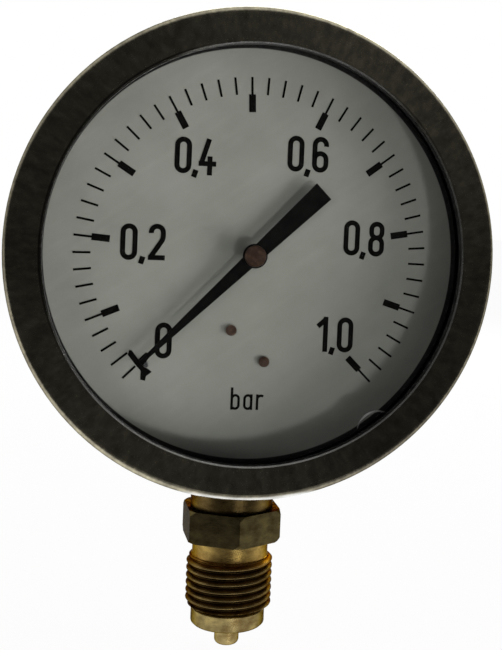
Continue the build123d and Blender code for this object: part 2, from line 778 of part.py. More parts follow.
# ---- end piece: closes the free end and carries the link on an ear ----
tip_angle = tube_start_angle - tube_sweep
end_back_y = tube_y + tube_width / 2 + end_piece_wall / 2
end_front_y = link_y + end_play
ear_back_y = end_front_y + ear_thickness
end_thickness = tube_thickness + 2 * end_piece_wall
end_middle = polar(tube_radius, tip_angle - end_piece_sweep / 2)
ear_x, ear_z = end_middle[0] - tip_pin_place[0], end_middle[1] - tip_pin_place[1]
ear_length = sqrt(ear_x ** 2 + ear_z ** 2)
ear_angle = degrees(acos(ear_x / ear_length)) * (1 if ear_z > 0 else -1)
with BuildPart() as tube_end_piece:
    with BuildSketch(radial_plane(tip_angle)):
        with Locations((tube_radius, (end_back_y + end_front_y) / 2)):
            Rectangle(end_thickness, end_back_y - end_front_y)
    revolve(axis=pointer_axis, revolution_arc=end_piece_sweep)
    # tongue soldered into the tube
    with BuildSketch(radial_plane(tip_angle)):
        with Locations((tube_radius, tube_y)):
            SlotOverall(tube_width - 2 * (tube_wall + end_tongue_clearance),
                        tube_thickness - 2 * (tube_wall + end_tongue_clearance), rotation=90)
    revolve(axis=pointer_axis, revolution_arc=-degrees(end_tongue_length / tube_radius))
    # ear
    with BuildSketch(dial_plane(ear_back_y)):
        middle = ((end_middle[0] + tip_pin_place[0]) / 2, (end_middle[1] + tip_pin_place[1]) / 2)
        with Locations(Location(middle, ear_angle)):
            SlotCenterToCenter(ear_length, ear_width)
        with Locations(tip_pin_place):
            Circle(link_pin_diameter / 2, mode=Mode.SUBTRACT)
    extrude(amount=ear_thickness)
tube_end_piece.part.label = "tube_end_piece"
export_step(tube_end_piece.part, "parts/tube_end_piece.step")

# ---- link and its two pins ----
link_start = (sector_place[0] + tail_tip[0], sector_place[1] + tail_tip[1])
link_x, link_z = tip_pin_place[0] - link_start[0], tip_pin_place[1] - link_start[1]
link_length = sqrt(link_x ** 2 + link_z ** 2)
link_angle = degrees(acos(link_x / link_length)) * (1 if link_z > 0 else -1)
with BuildPart() as link:
    with BuildSketch(pivot_plane(link_y, link_start)):
        middle = (link_x / 2, link_z / 2)
        with Locations(Location(middle, link_angle)):
            SlotCenterToCenter(link_length, link_width)
        Circle(link_pin_diameter / 2 + open_pivot_clearance, mode=Mode.SUBTRACT)
        with Locations((link_x, link_z)):
            Circle(link_pin_diameter / 2 + running_clearance, mode=Mode.SUBTRACT)
    extrude(amount=link_thickness)
link.part.label = "link"
export_step(link.part, "parts/link.step")


def headed_pin(place, back):
    """Shoulder pin pressed in at depth back; its head stands in front of the link."""
    with BuildPart() as pin:
        with BuildSketch(pivot_plane(back, place)):
            Circle(link_pin_diameter / 2)
        extrude(amount=back - link_front_y + end_play)
        with BuildSketch(pivot_plane(link_front_y - end_play, place)):
            Circle(link_pin_head / 2)
        extrude(amount=link_pin_head_height)
    return pin.part


link_tip_pin = headed_pin(tip_pin_place, ear_back_y)
link_tip_pin.label = "link_tip_pin"
export_step(link_tip_pin, "parts/link_tip_pin.step")

link_tail_pin = headed_pin(link_start, sector_y)
link_tail_pin.label = "link_tail_pin"
export_step(link_tail_pin, "parts/link_tail_pin.step")

# ---- pointer, its bush and the cap ----
with BuildPart() as pointer:
    with BuildSketch(dial_plane(pointer_y)):
        # straight taper from the wide tail through the hub to the tip
        with BuildLine():
            Polyline(*[
                polar(sqrt(radius ** 2 + (width / 2) ** 2),
                      zero_angle + side * degrees(acos(radius / sqrt(
                          radius ** 2 + (width / 2) ** 2))))
                for radius, width, side in [
                    (pointer_tip_radius, pointer_tip_width, -1),
                    (pointer_tip_radius, pointer_tip_width, 1),
                ]
            ] + [
                polar(-sqrt(pointer_tail_radius ** 2 + (pointer_tail_width / 2) ** 2),
                      zero_angle + side * degrees(acos(pointer_tail_radius / sqrt(
                          pointer_tail_radius ** 2 + (pointer_tail_width / 2) ** 2))))
                for side in (-1, 1)
            ], close=True)
        make_face()
        Circle(bush_sleeve_diameter / 2, mode=Mode.SUBTRACT)
    extrude(amount=pointer_thickness)
pointer.part.label = "pointer"
export_step(pointer.part, "parts/pointer.step")

with BuildPart() as pointer_bush:
    with BuildSketch(dial_plane(pointer_y + bush_sleeve_length)):
        Circle(bush_sleeve_diameter / 2)
    extrude(amount=bush_sleeve_length + pointer_thickness)
    with BuildSketch(dial_plane(pointer_y - pointer_thickness)):
        Circle(bush_diameter / 2)
    extrude(amount=bush_height)
    with BuildSketch(dial_plane(pointer_y + bush_sleeve_length)):
        Circle(arbor_seat_diameter / 2)
    extrude(amount=bush_sleeve_length + pointer_thickness + bush_height, mode=Mode.SUBTRACT)
pointer_bush.part.label = "pointer_bush"
export_step(pointer_bush.part, "parts/pointer_bush.step")

with BuildPart() as pointer_cap:
    # shallow dome with a low rim
    with BuildSketch(dial_plane(bush_front_y)):
        Circle(cap_diameter / 2)
    extrude(amount=cap_height)
    fillet(pointer_cap.edges().filter_by(GeomType.CIRCLE).sort_by(Axis.Y)[0], cap_height * 0.9)
pointer_cap.part.label = "pointer_cap"
export_step(pointer_cap.part, "parts/pointer_cap.step")
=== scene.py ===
import bmesh
import bpy
import math
import numpy as np
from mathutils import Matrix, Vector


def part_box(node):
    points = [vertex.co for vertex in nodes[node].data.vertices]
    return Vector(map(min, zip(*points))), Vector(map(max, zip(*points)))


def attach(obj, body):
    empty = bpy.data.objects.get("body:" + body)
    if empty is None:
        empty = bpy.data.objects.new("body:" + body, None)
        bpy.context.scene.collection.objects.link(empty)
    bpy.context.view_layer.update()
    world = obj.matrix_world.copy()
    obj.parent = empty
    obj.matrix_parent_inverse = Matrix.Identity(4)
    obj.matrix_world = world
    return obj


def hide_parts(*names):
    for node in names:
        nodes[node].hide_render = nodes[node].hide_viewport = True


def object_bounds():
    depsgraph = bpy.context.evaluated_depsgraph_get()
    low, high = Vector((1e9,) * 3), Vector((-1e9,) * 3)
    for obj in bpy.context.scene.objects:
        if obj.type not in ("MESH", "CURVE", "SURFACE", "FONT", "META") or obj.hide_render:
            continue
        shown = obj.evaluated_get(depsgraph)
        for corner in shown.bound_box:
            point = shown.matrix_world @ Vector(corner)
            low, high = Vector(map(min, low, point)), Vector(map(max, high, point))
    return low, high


# Round pressure gauge of nominal size 100 with a Bourdon tube and a lower G 1/2 B connection.
# Metres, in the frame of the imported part: X to the reader's right, Y away, Z up the stem.

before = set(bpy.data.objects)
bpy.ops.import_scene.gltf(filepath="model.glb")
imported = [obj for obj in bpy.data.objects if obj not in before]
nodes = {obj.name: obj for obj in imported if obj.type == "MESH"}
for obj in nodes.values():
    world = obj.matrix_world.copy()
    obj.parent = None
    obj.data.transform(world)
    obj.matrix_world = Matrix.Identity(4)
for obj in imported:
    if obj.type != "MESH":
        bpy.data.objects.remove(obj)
cad_low, cad_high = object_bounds()
scene = bpy.context.scene

# ---- camera ----
# Stands a little left of the gauge and turned towards it, at about a quarter of a metre.
camera_data = bpy.data.cameras.new("camera")
camera_data.lens = 60.29
camera_data.sensor_width = 36.0
camera_data.shift_x = -0.0924
camera_data.shift_y = -0.0769
camera_data.clip_start = 0.01
camera_data.clip_end = 20.0
camera = bpy.data.objects.new("camera", camera_data)
camera.location = (-0.03245, -0.26141, 0.0823)
camera.rotation_euler = [math.radians(a) for a in (87.047, -2.484, -10.645)]
scene.collection.objects.link(camera)
scene.camera = camera

# ---- studio: pale floor, white backdrop, soft lamps low on the right ----
# The backdrop is white to the camera, and behind the gauge to metal and glass as well; towards
# the front the room and the far floor are dim. The floor stops no lamplight, so a lamp may stand
# below its level.
scene.view_settings.view_transform = "Standard"


def link_object(name, mesh):
    """A new object at the origin that shows the mesh."""
    piece = bpy.data.objects.new(name, mesh)
    scene.collection.objects.link(piece)
    return piece


def math_node(tree, operation, first, second=None):
    """One arithmetic step on two sockets or numbers."""
    step = tree.nodes.new("ShaderNodeMath")
    step.operation = operation
    for socket, value in zip(step.inputs, (first, second)):
        if value is None:
            continue
        if isinstance(value, (int, float)):
            socket.default_value = value
        else:
            tree.links.new(value, socket)
    return step.outputs[0]


def spread(tree, factor, low, high, start=0.3, end=0.7):
    """A factor's middle part spread between two values."""
    fit = tree.nodes.new("ShaderNodeMapRange")
    for socket, value in (("From Min", start), ("From Max", end), ("To Min", low), ("To Max", high)):
        fit.inputs[socket].default_value = value
    tree.links.new(factor, fit.inputs["Value"])
    return fit.outputs["Result"]


def axes(tree, vector):
    """The X, Y and Z of a vector."""
    apart = tree.nodes.new("ShaderNodeSeparateXYZ")
    tree.links.new(vector, apart.inputs[0])
    return apart.outputs["X"], apart.outputs["Y"], apart.outputs["Z"]


def seen_directly(tree, in_mirror):
    """1 for what a camera looks at, the given share for what a mirror or a glass looks at, and 0
    for light on its way to a matt surface."""
    path = tree.nodes.new("ShaderNodeLightPath")
    bent = math_node(tree, "MAXIMUM", path.outputs["Is Glossy Ray"],
                     path.outputs["Is Transmission Ray"])
    unscattered = math_node(tree, "LESS_THAN", path.outputs["Diffuse Depth"], 0.5)
    mirrored = math_node(tree, "MULTIPLY", math_node(tree, "MULTIPLY", bent, unscattered), in_mirror)
    return math_node(tree, "MAXIMUM", mirrored, path.outputs["Is Camera Ray"])


world = bpy.data.worlds.new("surround")
world.use_nodes = True
tree = world.node_tree
surround = tree.nodes["Background"]
surround.inputs["Color"].default_value = (1.0, 1.0, 1.0, 1.0)
direction = tree.nodes.new("ShaderNodeTexCoord")
_, backward, upward = axes(tree, direction.outputs["Generated"])
overhead = math_node(tree, "MULTIPLY", math_node(tree, "MAXIMUM", upward, 0.0), 0.5)
rear = spread(tree, math_node(tree, "ADD", backward, overhead), 0.05, 1.0, 0.0, 0.6)
path = tree.nodes.new("ShaderNodeLightPath")
fill = math_node(tree, "MULTIPLY", path.outputs["Is Diffuse Ray"], 0.06)
tree.links.new(math_node(tree, "MAXIMUM", seen_directly(tree, rear), fill),
               surround.inputs["Strength"])
scene.world = world

floor_z = cad_low.z - 0.0002
reach = 8.0
floor_mesh = bpy.data.meshes.new("floor")
floor_mesh.from_pydata(
    [(-reach, -reach, floor_z), (reach, -reach, floor_z),
     (reach, reach, floor_z), (-reach, reach, floor_z)],
    [], [(0, 1, 2, 3)])
floor = link_object("floor", floor_mesh)
floor.visible_shadow = False
floor_paint = bpy.data.materials.new("floor_paint")
floor_paint.use_nodes = True
tree = floor_paint.node_tree
diffuse = tree.nodes["Principled BSDF"]
diffuse.inputs["Base Color"].default_value = (0.86, 0.86, 0.86, 1.0)
diffuse.inputs["Roughness"].default_value = 0.9
glow = tree.nodes.new("ShaderNodeEmission")
mix = tree.nodes.new("ShaderNodeMixShader")
place = tree.nodes.new("ShaderNodeTexCoord")
_, backward, _ = axes(tree, place.outputs["Object"])
near = spread(tree, backward, 0.03, 1.0, -0.07, -0.035)
tree.links.new(seen_directly(tree, near), glow.inputs["Strength"])
tree.links.new(math_node(tree, "MULTIPLY", seen_directly(tree, 1.0), 0.96), mix.inputs["Fac"])
tree.links.new(diffuse.outputs[0], mix.inputs[1])
tree.links.new(glow.outputs[0], mix.inputs[2])
tree.links.new(mix.outputs[0], tree.nodes["Material Output"].inputs["Surface"])
floor_mesh.materials.append(floor_paint)


def softbox(name, direction, distance, width, height, power, mirrored=True):
    """A rectangular lamp that faces the middle of the dial from a direction. One that isn't
    mirrored lights matt surfaces and leaves no glare on metal or glass."""
    lamp = bpy.data.lights.new(name, "AREA")
    lamp.shape = "RECTANGLE"
    lamp.size, lamp.size_y = width, height
    lamp.energy = power
    holder = bpy.data.objects.new(name, lamp)
    away = Vector(direction).normalized()
    dial_middle = Vector((0.0, -0.021, centre_z))
    holder.location = dial_middle + away * distance
    holder.rotation_euler = away.to_track_quat("Z", "Y").to_euler()
    holder.visible_glossy = mirrored
    scene.collection.objects.link(holder)
    return holder


ring_low, ring_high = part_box("bezel_ring")
centre_z = (ring_low.z + ring_high.z) / 2
# a small lamp for the pointer's crisp shadow, and a wide thin one in the same place, which keeps
# the shadow of the ring's lip soft at the sides
key_direction = (0.64, -1.0, -0.54)
softbox("key_lamp", key_direction, 0.70, 0.07, 0.07, 1.3, False)
softbox("strip_lamp", key_direction, 0.70, 0.60, 0.05, 0.45, False)
softbox("right_lamp", (5.0, -1.0, -0.2), 0.80, 0.35, 0.35, 5.8, False)
softbox("low_right_lamp", (3.0, -1.0, -1.5), 0.80, 0.38, 0.38, 10.0, False)
softbox("left_lamp", (-1.0, -1.0, 0.0), 0.80, 0.35, 0.35, 1.0, False)
softbox("back_lamp", (0.2, 0.8, 0.45), 0.90, 0.5, 0.5, 6.0)
stem_lamp = softbox("stem_lamp", (0.28, -1.0, -0.65), 0.40, 0.03, 0.10, 0.14)

# ---- connection and stem: one brass bar, turned, with a G 1/2 B thread ----
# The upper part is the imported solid; below the undercut the thread, the pilot and the spigot
# are turned anew, with the real pitch of 1.814 mm and the real rounded 55 degree section.
undercut_middle, undercut_radius = 0.0021, 0.0092
pitch, crest_radius = 0.001814, 0.0104775
thread_end, pilot_end, spigot_end = -0.0129, -0.0171, -0.0225
pilot_radius, spigot_radius, bore_radius = 0.0090, 0.0030, 0.0015


def grid_faces(rows, columns):
    """Four-sided faces of a grid that closes on itself along its columns."""
    i, j = np.meshgrid(np.arange(rows - 1), np.arange(columns), indexing="ij")
    k = (j + 1) % columns
    return np.stack([i * columns + j, i * columns + k,
                     (i + 1) * columns + k, (i + 1) * columns + j], -1).reshape(-1, 4)


def thread_radius(z, turn):
    """Radius of a 55 degree thread: straight flanks between a rounded crest and a rounded root,
    repeated once a pitch along Z and carried round with the turn."""
    depth, rounding, flank = 0.640327 * pitch, 0.137329 * pitch, math.radians(27.5)
    x = np.abs((z / pitch - turn / (2 * np.pi)) % 1.0 - 0.5) * pitch
    edge = rounding * math.cos(flank)
    fall = rounding * (1 - math.sin(flank))
    crest = rounding - np.sqrt(np.maximum(rounding ** 2 - np.minimum(x, edge) ** 2, 0))
    back = np.clip(pitch / 2 - x, 0, edge)
    root = depth - rounding + np.sqrt(np.maximum(rounding ** 2 - back ** 2, 0))
    side = fall + (x - edge) / math.tan(flank)
    drop = np.where(x < edge, crest, np.where(x > pitch / 2 - edge, root, side))
    return crest_radius - np.clip(drop, 0, depth)


def turned_connection():
    """Profile turned about Z: radius as a function of height, with the thread's radius between
    the undercut and the pilot, held under the cones of its two end chamfers."""
    turn = np.linspace(0, 2 * np.pi, 180, endpoint=False)
    heights = np.linspace(0.0, thread_end, 160)
    z, t = np.meshgrid(heights, turn, indexing="ij")
    top_cone = 0.0094 - z * 1.1
    low_cone = undercut_radius + (z - thread_end) * 1.15
    threaded = np.minimum(thread_radius(z, t), np.minimum(top_cone, low_cone))
    upper = np.array([(bore_radius, undercut_middle), (undercut_radius, undercut_middle),
                      (undercut_radius, 0.0003), (undercut_radius + 0.00005, 0.00005)])
    pilot = np.array([(pilot_radius - 0.0002, thread_end - 0.0002),
                      (pilot_radius, thread_end - 0.0004),
                      (pilot_radius, pilot_end + 0.0006),
                      (pilot_radius - 0.00005, pilot_end + 0.00045),
                      (pilot_radius - 0.00045, pilot_end + 0.00005),
                      (pilot_radius - 0.0006, pilot_end),
                      (spigot_radius + 0.00045, pilot_end),
                      (spigot_radius + 0.0001, pilot_end - 0.0001),
                      (spigot_radius, pilot_end - 0.0004)])
    angle = np.linspace(0, np.pi / 2, 9)
    rounding = 0.0012
    nose = np.c_[spigot_radius - rounding + rounding * np.cos(angle),
                 spigot_end + rounding - rounding * np.sin(angle)]
    bore = np.array([(bore_radius + 0.0001, spigot_end), (bore_radius, spigot_end + 0.0001),
                     (bore_radius, undercut_middle - 0.0001)])

    def turned(profile):
        r = np.repeat(profile[:, :1], len(turn), 1)
        return np.stack([r * np.cos(turn), r * np.sin(turn),
                         np.repeat(profile[:, 1:], len(turn), 1)], -1)

    middle = np.stack([threaded * np.cos(t), threaded * np.sin(t), z], -1)
    points = np.concatenate([turned(upper), middle, turned(pilot), turned(nose), turned(bore)])
    faces = grid_faces(len(points), len(turn))
    last = (len(points) - 1) * len(turn)
    j = np.arange(len(turn))
    k = (j + 1) % len(turn)
    closing = np.stack([last + j, last + k, k, j], -1)
    return points.reshape(-1, 3), np.concatenate([faces, closing])[:, ::-1]


def turned_stem():
    """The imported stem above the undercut's middle, joined with the new connection below it."""
    shape = bmesh.new()
    shape.from_mesh(nodes["stem"].data)
    bmesh.ops.remove_doubles(shape, verts=shape.verts, dist=1e-6)
    everything = shape.verts[:] + shape.edges[:] + shape.faces[:]
    bmesh.ops.bisect_plane(shape, geom=everything, plane_co=(0, 0, undercut_middle),
                           plane_no=(0, 0, 1), clear_inner=True)
    rims = [e for e in shape.edges if e.is_boundary]
    bmesh.ops.bridge_loops(shape, edges=rims)
    bmesh.ops.recalc_face_normals(shape, faces=shape.faces)
    points, faces = turned_connection()
    lower = bpy.data.meshes.new("lower")
    lower.from_pydata(points.tolist(), [], faces.tolist())
    shape.from_mesh(lower)
    mesh = bpy.data.meshes.new("brass_stem")
    shape.to_mesh(mesh)
    shape.free()
    if "custom_normal" in mesh.attributes:
        mesh.attributes.remove(mesh.attributes["custom_normal"])
    mesh.shade_smooth()
    sharpest_smooth = math.radians(28)
    mesh.set_sharp_from_angle(angle=sharpest_smooth)
    return mesh


def shader_material(name, metallic=0.0, roughness=0.5):
    """A material with one Principled shader that has these plain values."""
    paint = bpy.data.materials.new(name)
    paint.use_nodes = True
    shader = paint.node_tree.nodes["Principled BSDF"]
    shader.inputs["Metallic"].default_value = metallic
    shader.inputs["Roughness"].default_value = roughness
    return paint, paint.node_tree, shader


def millimetres(tree, centre=(0.0, 0.0, 0.0), stretch=(1.0, 1.0, 1.0)):
    """Object coordinates in millimetres from a centre, stretched along the axes."""
    place = tree.nodes.new("ShaderNodeTexCoord")
    mapping = tree.nodes.new("ShaderNodeMapping")
    mapping.inputs["Scale"].default_value = [1000.0 * s for s in stretch]
    mapping.inputs["Location"].default_value = [-1000.0 * c * s for c, s in zip(centre, stretch)]
    tree.links.new(place.outputs["Object"], mapping.inputs["Vector"])
    return mapping.outputs["Vector"]


def noise(tree, vector, scale, detail=3.0, roughness=0.55):
    """Value noise between 0 and 1 about the vector."""
    texture = tree.nodes.new("ShaderNodeTexNoise")
    texture.inputs["Scale"].default_value = scale
    texture.inputs["Detail"].default_value = detail
    texture.inputs["Roughness"].default_value = roughness
    tree.links.new(vector, texture.inputs["Vector"])
    return texture.outputs["Fac"]


def tones(tree, factor, stops):
    """Colours laid out along a factor: pairs of place and colour."""
    band = tree.nodes.new("ShaderNodeValToRGB")
    while len(band.color_ramp.elements) < len(stops):
        band.color_ramp.elements.new(0.5)
    for element, (place, colour) in zip(band.color_ramp.elements, stops):
        element.position = place
        element.color = (*colour, 1.0)
    tree.links.new(factor, band.inputs["Fac"])
    return band.outputs["Color"]


def distance(tree, first, second):
    """Distance from an axis: the square root of the sum of two squares."""
    return math_node(tree, "SQRT", math_node(
        tree, "ADD", math_node(tree, "MULTIPLY", first, first),
        math_node(tree, "MULTIPLY", second, second)))


def blended(tree, factor, first, second, kind="MIX"):
    """The second colour laid over the first, or multiplied with it, by a factor."""
    blend = tree.nodes.new("ShaderNodeMix")
    blend.data_type = "RGBA"
    blend.blend_type = kind
    if isinstance(factor, float):
        blend.inputs["Factor"].default_value = factor
    else:
        tree.links.new(factor, blend.inputs["Factor"])
    tree.links.new(first, blend.inputs["A"])
    tree.links.new(second, blend.inputs["B"])
    return blend.outputs["Result"]


def relief(tree, shader, height, depth):
    """Fine relief of that depth in metres on the shader's normal."""
    bump = tree.nodes.new("ShaderNodeBump")
    bump.inputs["Distance"].default_value = depth
    bump.inputs["Strength"].default_value = 1.0
    tree.links.new(height, bump.inputs["Height"])
    tree.links.new(bump.outputs["Normal"], shader.inputs["Normal"])


stem_brass, tree, shader = shader_material("stem_brass", 1.0)
shader.inputs["Specular Tint"].default_value = (0.22, 0.20, 0.16, 1.0)
x, y, height = axes(tree, millimetres(tree))
radius = distance(tree, x, y)
# one tone for each part of the bar, by its height in millimetres: the spigot, the pilot, the
# thread, its run-out, the undercut, the hexagon and the neck
lowest, highest = -22.5, 20.0
coat = tones(tree, spread(tree, height, 0.0, 1.0, lowest, highest), [
    ((z - lowest) / (highest - lowest), colour) for z, colour in (
        (-17.40, (0.36, 0.28, 0.12)), (-16.76, (0.26, 0.20, 0.085)), (-13.07, (0.26, 0.20, 0.085)),
        (-12.81, (0.17, 0.12, 0.05)), (-1.46, (0.17, 0.12, 0.05)), (-0.61, (0.36, 0.20, 0.055)),
        (0.66, (0.35, 0.23, 0.07)), (4.02, (0.36, 0.25, 0.08)), (4.36, (0.087, 0.069, 0.031)),
        (11.95, (0.087, 0.069, 0.031)), (12.14, (0.14, 0.095, 0.035)), (20.0, (0.13, 0.09, 0.035)))])
blotch = tones(tree, noise(tree, millimetres(tree, stretch=(1.0, 1.0, 1.6)), 0.3, 5.0), [
    (0.30, (0.62, 0.55, 0.48)), (0.50, (1.0, 1.0, 1.0)), (0.72, (1.6, 1.6, 1.45))])
# painted shade in the thread's grooves, from near the crest down to the root
thread_top, thread_low, groove_root, groove_top = 0.0, -13.0, 9.4, 10.3
in_thread = math_node(tree, "MULTIPLY", math_node(tree, "LESS_THAN", height, thread_top),
                      math_node(tree, "GREATER_THAN", height, thread_low))
in_groove = math_node(tree, "MULTIPLY", in_thread,
                      spread(tree, radius, 1.0, 0.0, groove_root, groove_top))
groove_shade = tones(tree, in_groove, [(0.0, (1.0, 1.0, 1.0)), (1.0, (0.30, 0.25, 0.2))])
blotched = blended(tree, 1.0, coat, blotch, "MULTIPLY")
tree.links.new(blended(tree, 1.0, blotched, groove_shade, "MULTIPLY"), shader.inputs["Base Color"])
marks = noise(tree, millimetres(tree, stretch=(1.0, 1.0, 16.0)), 0.8, 4.0)
tree.links.new(spread(tree, marks, 0.22, 0.42), shader.inputs["Roughness"])
relief(tree, shader, marks, 6e-6)

brass_stem = link_object("brass_stem", turned_stem())
brass_stem.data.materials.append(stem_brass)
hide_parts("stem")
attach(brass_stem, "housing")
lit_by_it = bpy.data.collections.new("lit_by_stem_lamp")
lit_by_it.objects.link(brass_stem)
stem_lamp.light_linking.receiver_collection = lit_by_it

# ---- case: cup drawn from steel sheet, open to the front ----
# The sheet keeps a satin surface; its rim is rolled back to carry the ring.


def turned_metal(name, stops, patch, roughness, lathe=(1.0, 1.0, 14.0), depth=4e-6):
    """Worked metal: tones that wander over patches of that size in millimetres, roughness from
    finer noise, and tool marks from noise stretched by lathe."""
    paint, tree, shader = shader_material(name, 1.0)
    place = millimetres(tree)
    tree.links.new(tones(tree, noise(tree, place, 1.0 / patch, 4.0), stops),
                   shader.inputs["Base Color"])
    marks = noise(tree, millimetres(tree, stretch=lathe), 0.9, 4.0)
    tree.links.new(spread(tree, marks, *roughness), shader.inputs["Roughness"])
    relief(tree, shader, marks, depth)
    return paint


def dress(material, *names):
    """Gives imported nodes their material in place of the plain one."""
    for name in names:
        slots = nodes[name].material_slots
        if not slots:
            nodes[name].data.materials.append(material)
        for slot in slots:
            slot.material = material


case_steel = turned_metal("case_steel", [
    (0.30, (0.31, 0.31, 0.305)), (0.55, (0.34, 0.34, 0.33)), (0.75, (0.37, 0.37, 0.36))],
    5.0, (0.32, 0.42), lathe=(1.0, 9.0, 1.0), depth=3e-6)
dress(case_steel, "case")

# ---- screws: turned steel, slotted ----
# Two go through the case's back into the stem, two hold the back plate to the stem's column, and
# the others hold the front plate on its pillars.
screw_steel = turned_metal("screw_steel", [
    (0.30, (0.40, 0.40, 0.41)), (0.70, (0.56, 0.56, 0.57))], 1.5, (0.25, 0.4),
    lathe=(1.0, 6.0, 1.0), depth=3e-6)
dress(screw_steel, "case_screws", "movement_screws", "pillar_screws")

# ---- blow-out plug and gasket: moulded black rubber ----
# The plug is snapped into the hole in the case's back and comes out if the tube bursts. The
# gasket is a flat ring between the window and the steel ring.
black_rubber, tree, shader = shader_material("plug_rubber")
place = millimetres(tree)
tree.links.new(tones(tree, noise(tree, place, 0.5, 4.0), [
    (0.30, (0.006, 0.006, 0.006)), (0.70, (0.014, 0.014, 0.014))]), shader.inputs["Base Color"])
grain = noise(tree, place, 7.0, 3.0)
tree.links.new(spread(tree, grain, 0.6, 0.8), shader.inputs["Roughness"])
shader.inputs["Specular IOR Level"].default_value = 0.25
relief(tree, shader, grain, 2e-5)
dress(black_rubber, "blowout_plug", "window_gasket")

# ---- Bourdon tube: flattened bronze tube, bent to a C and soldered into the stem ----
# Drawn metal with fine lines along it. It opens a little under pressure, and its free end moves.
tube_bronze = turned_metal("tube_bronze", [
    (0.28, (0.34, 0.17, 0.075)), (0.50, (0.48, 0.28, 0.13)), (0.74, (0.58, 0.38, 0.2))],
    7.0, (0.25, 0.42), lathe=(2.0, 10.0, 2.0))
dress(tube_bronze, "bourdon_tube")

# ---- hairspring: flat bronze strip wound to a spiral ----
# It keeps the teeth pressed to one side. Its inner end sits in the collet, its outer end in the
# stud on the plate.
spring_bronze = turned_metal("spring_bronze", [
    (0.30, (0.42, 0.25, 0.11)), (0.70, (0.60, 0.41, 0.2))], 1.2, (0.2, 0.35),
    lathe=(3.0, 12.0, 3.0))
dress(spring_bronze, "hairspring")

# ---- movement: plates, pillars, sector, link and the tube's end piece, cut from brass ----
# The dial's posts and the hairspring's collet and stud are the same brass. It is brushed one way
# and stays bright inside the case.
movement_brass = turned_metal("movement_brass", [
    (0.28, (0.47, 0.31, 0.11)), (0.52, (0.60, 0.43, 0.18)), (0.74, (0.70, 0.53, 0.25))],
    4.0, (0.22, 0.38), lathe=(8.0, 1.0, 1.0))
dress(movement_brass, "movement_back_plate", "movement_front_plate", "movement_pillars",
      "sector_gear", "link", "tube_end_piece", "dial_posts", "hairspring_collet", "hairspring_stud")

# ---- arbors and pins: turned and polished steel ----
# The pinion is cut on the pointer's arbor. The two pins carry the link, and the stop pin stands
# in the dial beside the zero mark.
arbor_steel = turned_metal("arbor_steel", [
    (0.30, (0.48, 0.48, 0.49)), (0.70, (0.64, 0.64, 0.65))], 1.0, (0.15, 0.28),
    lathe=(1.0, 14.0, 1.0))
dress(arbor_steel, "sector_arbor", "pinion_arbor", "link_tip_pin", "link_tail_pin", "stop_pin")

# ---- dial: aluminium sheet under matt white enamel, greyed a little with age ----
# Its outer edge is painted near black: painted shade where the ring's lip hides the light.
dial_enamel, tree, shader = shader_material("dial_enamel")
place = millimetres(tree, centre=(0.0, 0.0, centre_z))
x, _, z = axes(tree, place)
# faint scuffs, thirteen times as long as they are wide, slant up to the right
slant = tree.nodes.new("ShaderNodeCombineXYZ")
tree.links.new(math_node(tree, "ADD", math_node(tree, "MULTIPLY", x, 0.035),
                         math_node(tree, "MULTIPLY", z, 0.024)), slant.inputs["X"])
tree.links.new(math_node(tree, "SUBTRACT", math_node(tree, "MULTIPLY", z, 0.45),
                         math_node(tree, "MULTIPLY", x, 0.31)), slant.inputs["Y"])
scuffs = tones(tree, noise(tree, slant.outputs[0], 1.0, 4.0), [
    (0.35, (0.98, 0.98, 0.98)), (0.55, (1.0, 1.0, 1.0)), (0.66, (1.03, 1.03, 1.03))])
enamel = tones(tree, noise(tree, place, 0.045, 5.0, 0.6), [
    (0.30, (0.205, 0.209, 0.184)), (0.50, (0.228, 0.232, 0.205)), (0.70, (0.25, 0.252, 0.226))])
rim_shade = tones(tree, noise(tree, place, 1.5, 3.0), [
    (0.30, (0.004, 0.004, 0.004)), (0.70, (0.010, 0.010, 0.009))])
# painted shade: the colour turns near black between 45.45 and 45.65 mm from the middle and stays so
# to the edge
rim_shade_start, rim_shade_full = 45.45, 45.65
shaded_rim = spread(tree, distance(tree, x, z), 0.0, 1.0, rim_shade_start, rim_shade_full)
tree.links.new(blended(tree, shaded_rim, blended(tree, 1.0, enamel, scuffs, "MULTIPLY"), rim_shade),
               shader.inputs["Base Color"])
orange_peel = noise(tree, place, 2.2, 3.0)
tree.links.new(spread(tree, orange_peel, 0.5, 0.62), shader.inputs["Roughness"])
relief(tree, shader, orange_peel, 8e-6)
shader.inputs["Specular IOR Level"].default_value = 0.2
dress(dial_enamel, "dial")

# ---- print on the dial: black ink, screen-printed in one pass ----
# A scale to 1,0 over 270 degrees: a zero mark, then 49 equal steps of 0,02 with no mark at the
# first of them, where a bar joins zero to the next mark. Plain numerals and the unit.
dial_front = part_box("dial")[0].y
ink_depth = 0.00004
tick_outer, tick_inner, block_inner = 39.3, 35.5, 31.6
tick_width, block_width = 0.48, 1.5
zero_direction, sweep, steps = 225.0, 270, 49


